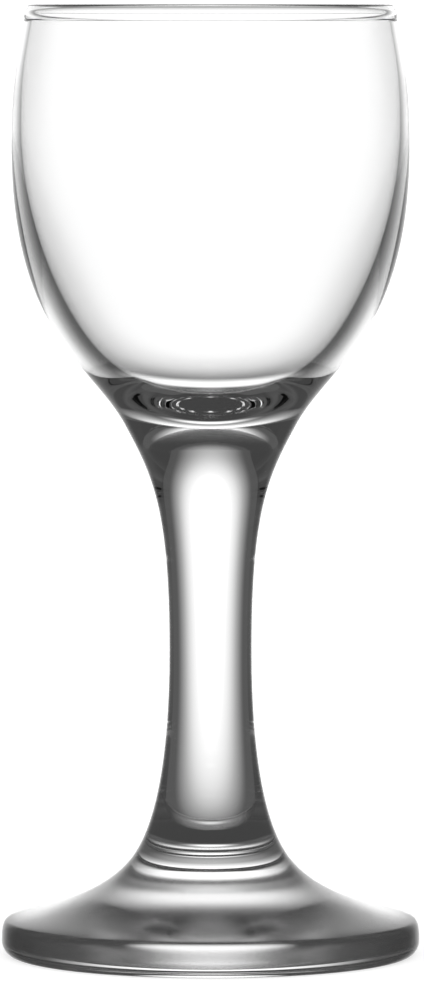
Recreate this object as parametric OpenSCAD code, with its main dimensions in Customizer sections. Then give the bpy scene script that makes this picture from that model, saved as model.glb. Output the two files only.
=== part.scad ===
// Small stemmed glass: a bowl, a stem and a foot of clear glass, fused face to face while hot.
// Lengths are in millimetres. The origin is the centre of the ring on which the foot stands, and +Z is up.
// Each outline is a chain of cubic curves. A curve leaves its first point and reaches its last one along
// a heading, in degrees from level, and it follows each heading for a share of the straight way between them.

/* [Foot] */
// Widest diameter of the foot, partway up its rounded edge
foot_d = 47.6; // [40:0.1:60]
// Height of the seam between the foot and the stem
foot_h = 10.4; // [8:0.1:16]
// Height at which the edge is widest
edge_mid_h = 1.7; // [1:0.1:2.4]
// Height at which the line of the top slope passes over that widest place
edge_h = 3.8; // [3.2:0.1:5.5]
// Fall of the top slope where it reaches the edge, in degrees
edge_slope = 19.5; // [10:0.5:28]
// Width of the rounding between the top slope and the widest place
edge_round = 0.7; // [0.3:0.05:1.5]
// Width of the rounding between the widest place and the standing ring
heel_w = 1.25; // [0.6:0.05:3]
// Width of the flat ring on which the glass stands
ring_w = 0.8; // [0.5:0.1:3]
// Depth of the hollow inside that ring
hollow_depth = 1.7; // [0.3:0.1:2.5]
// Rise of the hollow where it leaves the ring, in degrees
hollow_lean = 2; // [0:0.5:12]

/* [Stem] */
// Length of the stem between its two seams
stem_h = 50; // [30:0.5:90]
// Diameter at the seam with the foot
foot_seam_d = 18.9; // [14:0.1:24]
// Lean of the outline from upright at that seam, in degrees
foot_seam_lean = 41.6; // [30:0.5:50]
// Smallest diameter, at the waist
waist_d = 9.36; // [7:0.1:13]
// Height of the waist above the seam with the foot
waist_h = 24.4; // [14:0.1:28]
// Diameter at the seam with the bowl
bowl_seam_d = 19.46; // [17:0.1:24]
// Lean of the outline from upright at that seam, in degrees
bowl_seam_lean = 28.3; // [20:0.5:38]

/* [Bowl] */
// Widest diameter of the bowl, at the belly
belly_d = 45.1; // [42:0.1:60]
// Height of the belly above the seam with the stem
belly_h = 31.4; // [26:0.1:50]
// Height from the belly to the top of the rim
upper_h = 16.2; // [10:0.1:30]
// Thickness of the wall at the belly
belly_wall = 1.05; // [0.7:0.05:2]
// How far the widest place of the cavity lies above the belly
cavity_rise = 2.4; // [0:0.1:4]
// Thickness of the glass between the seam and the bottom of the cavity
base_t = 1.6; // [0.8:0.1:5]

/* [Rim] */
// Outer diameter of the rim bead
rim_d = 42.2; // [38:0.1:56]
// Thickness of the bead, across the wall
bead_w = 1.1; // [1.05:0.05:1.6]
// Height of the bead
bead_h = 2.1; // [1.4:0.1:2.8]
// Inward lean of the bead from upright, in degrees
bead_lean = 13; // [0:0.5:20]
// Thickness of the wall just under the bead
rim_wall = 0.82; // [0.5:0.02:1]
// Inward lean of the wall from upright under the bead, in degrees
rim_lean = 9.9; // [0:0.1:15]

/* [Hidden] */
$fn = 120;
curve_steps = 24;
bead_steps = 28;
clear_glass = [0.84, 0.86, 0.87, 0.5];

// Headings of an outline, in degrees
outward = 0;
up = 90;
inward = 180;
down = 270;

foot_r = foot_d / 2;
stand_r = foot_r - heel_w;
foot_seam_r = foot_seam_d / 2;
waist_r = waist_d / 2;
bowl_seam_r = bowl_seam_d / 2;
belly_r = belly_d / 2;
bowl_h = belly_h + upper_h;
bead_half = [bead_w / 2, bead_h / 2];
bead_r = rim_d / 2 - norm([bead_half[0] * cos(bead_lean), bead_half[1] * sin(bead_lean)]);
bead_z = bowl_h - norm([bead_half[0] * sin(bead_lean), bead_half[1] * cos(bead_lean)]);
// How far the bead's leaning oval wraps down past its widest place, on each side of the wall
bead_wrap = acos(rim_wall / bead_w);

// Each pair gives how far a curve holds its first and its last heading
hollow_shares = [0.48, 0.13];
heel_shares = [0.3, 0.45];
edge_shares = [0.5, 0.26];
slope_shares = [0.17, 0.4];
lower_stem_shares = [0.24, 0.355];
upper_stem_shares = [0.62, 0.25];
lower_bowl_shares = [0.23, 0.62];
upper_bowl_shares = [0.44, 0.37];
upper_cavity_shares = [0.33, 0.48];
lower_cavity_shares = [0.54, 0.23];

function way(heading) = [cos(heading), sin(heading)];

function cubic(a, b, c, d, t) =
    pow(1 - t, 3) * a + 3 * t * pow(1 - t, 2) * b + 3 * t * t * (1 - t) * c + pow(t, 3) * d;

function curve(start, start_heading, end, end_heading, shares) =
    let (
        span = norm(end - start),
        start_pull = start + shares[0] * span * way(start_heading),
        end_pull = end - shares[1] * span * way(end_heading)
    )
    [for (i = [0 : curve_steps]) cubic(start, start_pull, end_pull, end, i / curve_steps)];

// Stretch of a leaning oval about a centre, from one angle to another
function oval(centre, half, lean, from, to, steps) =
    [
        for (i = [0 : steps])
            let (a = from + (to - from) * i / steps)
            centre + half[0] * cos(a) * way(lean) + half[1] * sin(a) * way(up + lean)
    ];

// Pressed disc, hollow underneath, with a thick bulging edge and a top that sweeps up to the stem
module foot() {
    hollow_r = stand_r - ring_w;
    edge_mid = [foot_r, edge_mid_h];
    slope_start = [foot_r - edge_round, edge_h + edge_round * tan(edge_slope)];
    hollow = curve([0, hollow_depth], outward, [hollow_r, 0], outward - hollow_lean, hollow_shares);
    heel = curve([stand_r, 0], outward, edge_mid, up, heel_shares);
    edge = curve(edge_mid, up, slope_start, inward - edge_slope, edge_shares);
    slope = curve(slope_start, inward - edge_slope, [foot_seam_r, foot_h], up + foot_seam_lean, slope_shares);
    color(clear_glass)
        rotate_extrude()
            polygon(concat(hollow, heel, edge, slope, [[0, foot_h]]));
}

// Pressed solid stem, drawn in to a waist and flared at both seams
module stem() {
    waist = [waist_r, waist_h];
    lower = curve([foot_seam_r, 0], up + foot_seam_lean, waist, up, lower_stem_shares);
    upper = curve(waist, up, [bowl_seam_r, stem_h], up - bowl_seam_lean, upper_stem_shares);
    color(clear_glass)
        translate([0, 0, foot_h])
            rotate_extrude()
                polygon(concat([[0, 0]], lower, upper, [[0, stem_h]]));
}

// Blown cup whose wall grows thicker down to a heavy base, with a rim melted round into a bead
module bowl() {
    belly = [belly_r, belly_h];
    cavity_belly = [belly_r - belly_wall, belly_h + cavity_rise];
    bead = oval([bead_r, bead_z], bead_half, bead_lean, -bead_wrap, inward + bead_wrap, bead_steps);
    lower = curve([bowl_seam_r, 0], up - bowl_seam_lean, belly, up, lower_bowl_shares);
    upper = curve(belly, up, bead[0], up + rim_lean, upper_bowl_shares);
    upper_cavity = curve(bead[bead_steps], down + rim_lean, cavity_belly, down, upper_cavity_shares);
    lower_cavity = curve(cavity_belly, down, [0, base_t], inward, lower_cavity_shares);
    color(clear_glass)
        translate([0, 0, foot_h + stem_h])
            rotate_extrude()
                polygon(concat([[0, 0]], lower, upper, bead, upper_cavity, lower_cavity));
}

foot();
stem();
bowl();
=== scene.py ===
import math
import bpy
import numpy as np
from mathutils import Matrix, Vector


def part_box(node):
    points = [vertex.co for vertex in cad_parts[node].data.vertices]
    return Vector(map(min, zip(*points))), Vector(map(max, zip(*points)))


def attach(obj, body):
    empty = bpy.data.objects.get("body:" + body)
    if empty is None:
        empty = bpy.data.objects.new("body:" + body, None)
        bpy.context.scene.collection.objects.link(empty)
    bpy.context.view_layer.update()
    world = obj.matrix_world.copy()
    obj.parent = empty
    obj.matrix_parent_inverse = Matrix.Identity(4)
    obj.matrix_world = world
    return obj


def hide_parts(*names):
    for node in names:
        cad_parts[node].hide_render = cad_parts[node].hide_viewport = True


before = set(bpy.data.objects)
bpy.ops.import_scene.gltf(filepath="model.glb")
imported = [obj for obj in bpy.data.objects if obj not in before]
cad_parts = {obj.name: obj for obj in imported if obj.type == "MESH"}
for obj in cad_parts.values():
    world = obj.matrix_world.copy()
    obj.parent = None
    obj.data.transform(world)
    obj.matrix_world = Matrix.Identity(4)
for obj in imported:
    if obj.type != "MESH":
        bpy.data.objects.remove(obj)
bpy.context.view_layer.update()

# Foot
# A disc of clear soda-lime glass, pressed hot in a mould. It is hollow underneath, so it stands on a narrow
# ring, its thick edge bulges, and its top sweeps up to the seam where the stem is fused to it.

MM = 0.001
OUTWARD, UP, INWARD, DOWN = 0, 90, 180, 270
foot_low, foot_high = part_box("foot")
foot_r, foot_h = (foot_high[0] - foot_low[0]) / 2, foot_high[2]
edge_mid_h, edge_h, edge_slope, edge_round = 1.7 * MM, 3.8 * MM, 19.5, 0.7 * MM
heel_w, ring_w, hollow_depth, hollow_lean = 1.25 * MM, 0.8 * MM, 1.7 * MM, 2
foot_seam_r, foot_seam_lean = 9.45 * MM, 41.6
# Each pair gives how far a curve holds its first and its last heading
hollow_shares, heel_shares = (0.48, 0.13), (0.3, 0.45)
edge_shares, slope_shares = (0.5, 0.26), (0.17, 0.4)


def way(heading):
    """Unit vector (radius, height) at this angle from level, in degrees."""
    return np.array([math.cos(math.radians(heading)), math.sin(math.radians(heading))])


def curve(start, start_heading, end, end_heading, shares, points=48):
    """Cubic curve of (radius, height) points. Each end is held along its heading for its share of the chord:
    (1-t)^3 start + 3t(1-t)^2 start_pull + 3t^2(1-t) end_pull + t^3 end, for t from 0 to 1."""
    start, end = np.array(start, float), np.array(end, float)
    chord = math.hypot(*(end - start))
    start_pull = start + shares[0] * chord * way(start_heading)
    end_pull = end - shares[1] * chord * way(end_heading)
    t = np.linspace(0, 1, points)[:, None]
    held = 3 * t * (1 - t) ** 2 * start_pull + 3 * t**2 * (1 - t) * end_pull
    return (1 - t) ** 3 * start + held + t**3 * end


def put_in_scene(name, data):
    """New object that shows this mesh or camera in the scene."""
    shown = bpy.data.objects.new(name, data)
    bpy.context.scene.collection.objects.link(shown)
    return shown


SAME_PLACE, SHARP_ANGLE = 1e-7, 25


def lathe(name, outline, seams, materials, turns=256):
    """Closed surface of revolution: each outline point (r, z), from pole to pole, goes to
    (r cos a, r sin a, z) for a all round. Level faces at the height of a seam take the second material."""
    step = np.hypot(*np.diff(outline, axis=0).T)
    outline = outline[np.r_[True, step > SAME_PLACE]]
    rings, count = outline[1:-1], (len(outline) - 2) * turns
    a = np.linspace(0, 2 * math.pi, turns, endpoint=False)
    grid = np.stack([rings[:, :1] * np.cos(a), rings[:, :1] * np.sin(a), rings[:, 1:] + 0 * a], axis=2)
    poles = [[0, 0, outline[0, 1]], [0, 0, outline[-1, 1]]]
    vertices = np.concatenate([grid.reshape(-1, 3), poles])
    here = np.arange(count).reshape(-1, turns)
    beside = np.roll(here, -1, axis=1)
    quads = np.stack([here[:-1], beside[:-1], beside[1:], here[1:]], axis=2).reshape(-1, 4)
    fans = np.concatenate([
        np.stack([0 * here[0] + count, beside[0], here[0]], axis=1),
        np.stack([0 * here[0] + count + 1, here[-1], beside[-1]], axis=1),
    ])
    mesh = bpy.data.meshes.new(name)
    mesh.from_pydata(vertices.tolist(), [], quads.tolist() + fans.tolist())
    lows, highs = [
        np.concatenate([pick(vertices[quads, 2], axis=1), pick(vertices[fans, 2], axis=1)])
        for pick in (np.min, np.max)
    ]
    fused = [
        np.isclose(lows, seam, atol=SAME_PLACE) & np.isclose(highs, seam, atol=SAME_PLACE)
        for seam in seams
    ]
    mesh.polygons.foreach_set("material_index", np.any(fused, axis=0).astype(np.int32))
    mesh.polygons.foreach_set("use_smooth", np.ones(len(lows), bool))
    mesh.set_sharp_from_angle(angle=math.radians(SHARP_ANGLE))
    for material in materials:
        mesh.materials.append(material)
    return put_in_scene(name, mesh)


def linear(code):
    """Linear colour (r, g, b, 1) of an sRGB hex code, by the sRGB standard's own curve."""
    shares = [int(code[i : i + 2], 16) / 255 for i in (0, 2, 4)]
    return [s / 12.92 if s <= 0.04045 else ((s + 0.055) / 1.055) ** 2.4 for s in shares] + [1]


def add_node(tree, kind, settings={}, links={}):
    """Adds a node. A setting is a property or an input's value, and a link joins an input to an output."""
    node = tree.nodes.new(kind)
    for key, value in settings.items():
        if isinstance(key, str) and hasattr(node, key):
            setattr(node, key, value)
        else:
            node.inputs[key].default_value = value
    for key, output in links.items():
        tree.links.new(output, node.inputs[key])
    return node


def blank_material(name):
    """New material without nodes, and its node tree."""
    material = bpy.data.materials.new(name)
    material.use_nodes = True
    material.node_tree.nodes.clear()
    return material, material.node_tree


GLASS_IOR, MIRRORED, PASSED, WHITE = 1.52, 0.7, "fefefe", "ffffff"
# From this value of Fresnel's law on, no light leaves the glass
ALL_MIRRORED = 0.999
# Upward part of the normal where the glass begins to count as level, and where it is wholly level
NEARLY_LEVEL, LEVEL = 0.96, 1.0


def wavy_glass(name, wave_mm, rise_mm, matt=0.0):
    """Clear glass whose skin swells and dips by rise_mm over waves of wave_mm, (across, along) the axis, with
    the roughness matt where it lies level. It mirrors by Fresnel's law, held back to the share MIRRORED,
    because the real one hardly shines along its outline. Light that can't leave it is mirrored whole."""
    material, tree = blank_material(name)
    place = add_node(tree, "ShaderNodeTexCoord")
    across, along = [1 / (size * MM) for size in wave_mm]
    waves = add_node(
        tree, "ShaderNodeVectorMath", {"operation": "MULTIPLY", 1: (across, across, along)},
        {0: place.outputs["Object"]},
    )
    swell = add_node(
        tree, "ShaderNodeTexNoise", {"Scale": 1.0, "Detail": 1.0, "Roughness": 0.3},
        {"Vector": waves.outputs["Vector"]},
    )
    skin = add_node(
        tree, "ShaderNodeBump", {"Strength": 1.0, "Distance": rise_mm * MM}, {"Height": swell.outputs["Fac"]},
    )
    upright = add_node(tree, "ShaderNodeSeparateXYZ", links={"Vector": place.outputs["Normal"]})
    level = add_node(tree, "ShaderNodeMath", {"operation": "ABSOLUTE"}, {0: upright.outputs["Z"]})
    scuff = add_node(
        tree, "ShaderNodeMapRange", {"From Min": NEARLY_LEVEL, "From Max": LEVEL, "To Max": matt},
        {"Value": level.outputs["Value"]},
    )
    fresnel = add_node(tree, "ShaderNodeFresnel", {"IOR": GLASS_IOR}, {"Normal": skin.outputs["Normal"]})
    held = add_node(
        tree, "ShaderNodeMath", {"operation": "MULTIPLY", 1: MIRRORED}, {0: fresnel.outputs["Fac"]},
    )
    trapped = add_node(
        tree, "ShaderNodeMath", {"operation": "GREATER_THAN", 1: ALL_MIRRORED}, {0: fresnel.outputs["Fac"]},
    )
    share = add_node(
        tree, "ShaderNodeMath", {"operation": "MAXIMUM"},
        {0: held.outputs["Value"], 1: trapped.outputs["Value"]},
    )
    finish = {"Roughness": scuff.outputs["Result"], "Normal": skin.outputs["Normal"]}
    bent = add_node(tree, "ShaderNodeBsdfRefraction", {"Color": linear(PASSED), "IOR": GLASS_IOR}, finish)
    mirrored = add_node(tree, "ShaderNodeBsdfAnisotropic", {"Color": linear(WHITE)}, finish)
    glass = add_node(
        tree, "ShaderNodeMixShader",
        links={0: share.outputs["Value"], 1: bent.outputs["BSDF"], 2: mirrored.outputs["BSDF"]},
    )
    add_node(tree, "ShaderNodeOutputMaterial", links={"Surface": glass.outputs["Shader"]})
    return material


# Soda-lime glass, pressed: clear, almost colourless, an index of about 1.52 and a sharp gloss. The mould
# chills its skin, which stays wavy by about ten micrometres. The underside is taken to be a little matt, as
# where glass cools on a plate.
pressed_glass = wavy_glass("soda_lime_glass_pressed", (7, 7), 0.012, matt=0.2)

# Fused seam: the two pieces of glass run into each other there, so light goes straight through.
fused_seam, tree = blank_material("fused_glass_seam")
clear = add_node(tree, "ShaderNodeBsdfTransparent")
add_node(tree, "ShaderNodeOutputMaterial", links={"Surface": clear.outputs["BSDF"]})

hollow_r = foot_r - heel_w - ring_w
edge_mid = [foot_r, edge_mid_h]
slope_start = [foot_r - edge_round, edge_h + edge_round * math.tan(math.radians(edge_slope))]
slope_end = [foot_seam_r, foot_h]
foot_outline = np.concatenate([
    curve([0, hollow_depth], OUTWARD, [hollow_r, 0], OUTWARD - hollow_lean, hollow_shares, points=64),
    curve([foot_r - heel_w, 0], OUTWARD, edge_mid, UP, heel_shares, points=24),
    curve(edge_mid, UP, slope_start, INWARD - edge_slope, edge_shares, points=32),
    curve(slope_start, INWARD - edge_slope, slope_end, UP + foot_seam_lean, slope_shares),
    [[0, foot_h]],
])
foot = lathe("glass_foot", foot_outline, [foot_h], [pressed_glass, fused_seam])
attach(foot, "root")
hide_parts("foot")

# Stem
# Solid, pressed in a mould and fused hot between the foot and the bowl. It is drawn in to a waist and flares
# at both seams.

stem_low, stem_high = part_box("stem")
stem_top, bowl_seam_r, bowl_seam_lean = stem_high[2], (stem_high[0] - stem_low[0]) / 2, 28.3
waist_r, waist_h = 4.68 * MM, 24.4 * MM
lower_stem_shares, upper_stem_shares = (0.24, 0.355), (0.62, 0.25)
waist = [waist_r, foot_h + waist_h]
stem_outline = np.concatenate([
    [[0, foot_h]],
    curve(slope_end, UP + foot_seam_lean, waist, UP, lower_stem_shares, points=64),
    curve(waist, UP, [bowl_seam_r, stem_top], UP - bowl_seam_lean, upper_stem_shares, points=64),
    [[0, stem_top]],
])
stem = lathe("glass_stem", stem_outline, [foot_h, stem_top], [pressed_glass, fused_seam])
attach(stem, "root")
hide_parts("stem")

# Bowl
# Blown cup whose wall grows from under a millimetre at the rim to a heavy base, fused onto the stem. The cut
# rim is melted round by a flame. It thickens to a bead that sags inwards, with a fine crease under it.

bowl_low, bowl_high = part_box("bowl")
belly_r, belly_h = (bowl_high[0] - bowl_low[0]) / 2, 31.4 * MM
belly_wall, cavity_rise, base_t = 1.05 * MM, 2.4 * MM, 1.6 * MM
rim_r, rim_z, rim_wall, rim_lean = 21.1 * MM, bowl_high[2], 0.82 * MM, 9.9
bead_half_w, bead_half_h, bead_lean = 0.55 * MM, 1.05 * MM, 13
lower_bowl_shares, upper_bowl_shares = (0.23, 0.62), (0.44, 0.37)
upper_cavity_shares, lower_cavity_shares = (0.33, 0.48), (0.54, 0.23)


def leaning_oval(half_w, half_h, lean, first, last, points):
    """Stretch of a leaning oval round its own centre: half_w cos a along its lean and half_h sin a square to
    it, for a from first to last, in degrees."""
    a = np.radians(np.linspace(first, last, points))[:, None]
    return half_w * np.cos(a) * way(lean) + half_h * np.sin(a) * way(UP + lean)


bead_wrap = math.degrees(math.acos(rim_wall / 2 / bead_half_w))
bead = leaning_oval(bead_half_w, bead_half_h, bead_lean, -bead_wrap, INWARD + bead_wrap, points=57)
whole_bead = leaning_oval(bead_half_w, bead_half_h, bead_lean, 0, 360, points=721)
bead = bead + [rim_r, rim_z] - whole_bead.max(axis=0)
belly = [belly_r, stem_top + belly_h]
cavity_belly = [belly_r - belly_wall, belly[1] + cavity_rise]
bowl_outline = np.concatenate([
    [[0, stem_top]],
    curve([bowl_seam_r, stem_top], UP - bowl_seam_lean, belly, UP, lower_bowl_shares, points=72),
    curve(belly, UP, bead[0], UP + rim_lean, upper_bowl_shares),
    bead,
    curve(bead[-1], DOWN + rim_lean, cavity_belly, DOWN, upper_cavity_shares),
    curve(cavity_belly, DOWN, [0, stem_top + base_t], INWARD, lower_cavity_shares, points=90),
])
# The same glass, blown: it is turned as it is drawn out, which leaves faint long waves up the wall.
blown_glass = wavy_glass("soda_lime_glass_blown", (5, 20), 0.004)
bowl = lathe("glass_bowl", bowl_outline, [stem_top], [blown_glass, fused_seam])
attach(bowl, "root")
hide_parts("bowl")

# Camera
# A long lens level with the rim, 0.88 m away and aimed at the upper half of the stem.

FOCAL_PX, IMAGE_H, SENSOR = 7762, 981, 36
CAMERA_X, CAMERA_AWAY, CAMERA_H, AIM_H = 0.165 * MM, 0.88, 107.5 * MM, 52.89 * MM
camera_data = bpy.data.cameras.new("camera")
camera_data.sensor_width, camera_data.lens = SENSOR, SENSOR * FOCAL_PX / IMAGE_H
camera_data.clip_start, camera_data.clip_end = 0.05, 100
camera = put_in_scene("camera", camera_data)
bpy.context.scene.camera = camera
camera.location = (CAMERA_X, -CAMERA_AWAY, CAMERA_H)
camera.rotation_euler = (math.pi / 2 - math.atan2(CAMERA_H - AIM_H, CAMERA_AWAY), 0, 0)

# Studio
# A lit background stands far behind the glass and stays behind it as seen by the camera, as it would behind a
# turntable. It fades into a dim room, which draws the dark edges of clear glass. The floor is plain white.

BACKGROUND_AWAY, BACKGROUND_HALF, BACKGROUND_LEVEL = 30, 40, 1.25
# Half width, half height and height, in metres, of the lit middle and of the lit table in front of it
LIT_OVALS = [(26.6, 29.5, 5.5), (14, 14, -25.5)]
# How bright the paper is, as a share of its full level, at each share of the way out to an oval's edge
FADE_SHARES = [
    (0, 1), (0.2, 1), (0.3, 0.95), (0.36, 0.84), (0.44, 0.7), (0.55, 0.48), (0.64, 0.33), (0.78, 0.19),
    (0.9, 0.11), (1, 0.08),
]
background_mesh = bpy.data.meshes.new("lit_background")
corners = BACKGROUND_HALF * np.array([(-1, -1, 0), (1, -1, 0), (1, 1, 0), (-1, 1, 0)])
background_mesh.from_pydata(corners.tolist(), [], [(0, 1, 2, 3)])
background = put_in_scene("lit_background", background_mesh)
background.parent = camera
background.location = (0, 0, -BACKGROUND_AWAY)

# Paper lit from behind: full in the middle of each oval, and fading to the dim room at its edge.
lit_paper, tree = blank_material("lit_paper")
place = add_node(tree, "ShaderNodeTexCoord")
ways_out = []
for half_w, half_h, height in LIT_OVALS:
    centred = add_node(
        tree, "ShaderNodeVectorMath",
        {"operation": "MULTIPLY_ADD", 1: (1 / half_w, 1 / half_h, 0), 2: (0, -height / half_h, 0)},
        {0: place.outputs["Object"]},
    )
    way_out = add_node(
        tree, "ShaderNodeVectorMath", {"operation": "LENGTH"}, {0: centred.outputs["Vector"]},
    )
    ways_out.append(way_out.outputs["Value"])
nearer = add_node(tree, "ShaderNodeMath", {"operation": "MINIMUM"}, {0: ways_out[0], 1: ways_out[1]})
fade = add_node(tree, "ShaderNodeFloatCurve", links={"Value": nearer.outputs["Value"]})
fade.mapping.extend = "HORIZONTAL"
fade_points = fade.mapping.curves[0].points
fade_points[0].location, fade_points[1].location = FADE_SHARES[0], FADE_SHARES[-1]
for way_out_share, level_share in FADE_SHARES[1:-1]:
    fade_points.new(way_out_share, level_share)
fade.mapping.update()
paper_level = add_node(
    tree, "ShaderNodeMath", {"operation": "MULTIPLY", 1: BACKGROUND_LEVEL}, {0: fade.outputs["Value"]},
)
glow = add_node(tree, "ShaderNodeEmission", links={"Strength": paper_level.outputs["Value"]})
add_node(tree, "ShaderNodeOutputMaterial", links={"Surface": glow.outputs["Emission"]})
background_mesh.materials.append(lit_paper)

FLOOR_R, FLOOR_CORNERS, FLOOR_COLOUR, FLOOR_FILL = 100 * MM, 128, "cbcbcb", 0.7
floor_mesh = bpy.data.meshes.new("floor")
turn = np.linspace(0, 2 * math.pi, FLOOR_CORNERS, endpoint=False)
floor_rim = np.stack([FLOOR_R * np.cos(turn), FLOOR_R * np.sin(turn), 0 * turn], axis=1)
floor_mesh.from_pydata(floor_rim.tolist(), [], [tuple(range(FLOOR_CORNERS))])
floor = put_in_scene("floor", floor_mesh)

# White card: it keeps the glass's shadow, and is filled up to white for the camera.
white_card, tree = blank_material("white_card")
ray = add_node(tree, "ShaderNodeLightPath")
fill_level = add_node(
    tree, "ShaderNodeMath", {"operation": "MULTIPLY", 1: FLOOR_FILL}, {0: ray.outputs["Is Camera Ray"]},
)
fill = add_node(tree, "ShaderNodeEmission", links={"Strength": fill_level.outputs["Value"]})
card = add_node(tree, "ShaderNodeBsdfDiffuse", {"Color": linear(FLOOR_COLOUR)})
both = add_node(tree, "ShaderNodeAddShader", links={0: card.outputs["BSDF"], 1: fill.outputs["Emission"]})
add_node(tree, "ShaderNodeOutputMaterial", links={"Surface": both.outputs["Shader"]})
floor_mesh.materials.append(white_card)
# The real glass is seen mirroring no bright floor, so this one is white to the camera alone.
floor.visible_glossy = floor.visible_transmission = False

# The room: white to the camera and a plain level on the floor. Where the glass mirrors or bends it, it is
# dim, and dimmer above and below than round the walls.
ROOM_LIGHT, WALLS_DIM, ABOVE_DIM = 0.85, 0.09, 0.055
# Upward or downward part of a direction at which the room is dimmest
ABOVE_FROM = 0.5
room = bpy.data.worlds.new("room")
bpy.context.scene.world = room
room.use_nodes = True
tree = room.node_tree
tree.nodes.clear()
ray = add_node(tree, "ShaderNodeLightPath")
by_glass = add_node(
    tree, "ShaderNodeMath", {"operation": "MAXIMUM"},
    {0: ray.outputs["Is Glossy Ray"], 1: ray.outputs["Is Transmission Ray"]},
)
toward = add_node(tree, "ShaderNodeTexCoord")
upward = add_node(tree, "ShaderNodeSeparateXYZ", links={"Vector": toward.outputs["Generated"]})
steep = add_node(tree, "ShaderNodeMath", {"operation": "ABSOLUTE"}, {0: upward.outputs["Z"]})
dim = add_node(
    tree, "ShaderNodeMapRange", {"From Max": ABOVE_FROM, "To Min": WALLS_DIM, "To Max": ABOVE_DIM},
    {"Value": steep.outputs["Value"]},
)
unseen = add_node(
    tree, "ShaderNodeMapRange", {"To Min": ROOM_LIGHT},
    {"Value": by_glass.outputs["Value"], "To Max": dim.outputs["Result"]},
)
room_level = add_node(
    tree, "ShaderNodeMath", {"operation": "MAXIMUM"},
    {0: unseen.outputs["Result"], 1: ray.outputs["Is Camera Ray"]},
)
light = add_node(
    tree, "ShaderNodeBackground", {"Color": linear(WHITE)}, {"Strength": room_level.outputs["Value"]},
)
add_node(tree, "ShaderNodeOutputWorld", links={"Surface": light.outputs["Background"]})

# Light passes many faces of clear glass before it leaves.
scene = bpy.context.scene
scene.cycles.max_bounces, scene.cycles.transmission_bounces, scene.cycles.glossy_bounces = 24, 24, 12
scene.view_settings.view_transform = "Standard"
